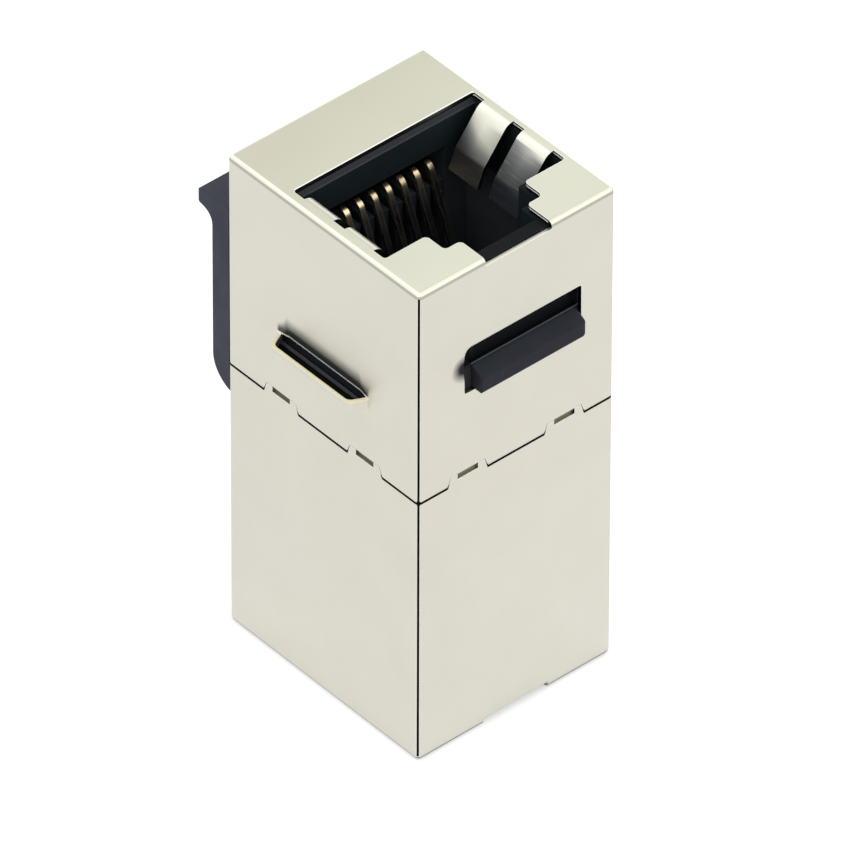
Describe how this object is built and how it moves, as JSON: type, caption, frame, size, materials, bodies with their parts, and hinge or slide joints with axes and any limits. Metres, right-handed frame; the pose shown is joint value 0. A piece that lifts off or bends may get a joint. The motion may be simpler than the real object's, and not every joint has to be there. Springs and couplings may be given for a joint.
{
  "type": "rj45 inline coupler",
  "caption": "Shielded inline coupler that joins two network cable plugs end to end and snaps into a keystone panel opening.",
  "frame": {"origin": "middle of the rear end plane, inside the mouth of the rear port, at the height the coupler stands on", "axes": "+Z along the plug axis from the rear port to the front port, +Y towards the contacts and the sprung lever, +X across the port"},
  "size_m": [0.0164, 0.0215, 0.0338],
  "materials": {
    "nickel_sheet": "satin nickel plated sheet",
    "black_housing": "fine moulded texture",
    "black_insert": "moulded",
    "gold_contact": "gold plated",
    "circuit_board": "solder mask"
  },
  "bodies": {
    "root": {"front_shell": "nickel_sheet", "rear_shell": "nickel_sheet", "front_housing": "black_housing", "rear_housing": "black_housing", "front_contact_insert": "black_insert", "rear_contact_insert": "black_insert", "circuit_board": "circuit_board", "front_contact_1": "gold_contact", "front_contact_2": "gold_contact", "front_contact_3": "gold_contact", "front_contact_4": "gold_contact", "front_contact_5": "gold_contact", "front_contact_6": "gold_contact", "front_contact_7": "gold_contact", "front_contact_8": "gold_contact", "rear_contact_1": "gold_contact", "rear_contact_2": "gold_contact", "rear_contact_3": "gold_contact", "rear_contact_4": "gold_contact", "rear_contact_5": "gold_contact", "rear_contact_6": "gold_contact", "rear_contact_7": "gold_contact", "rear_contact_8": "gold_contact"}
  },
  "joints": []
}
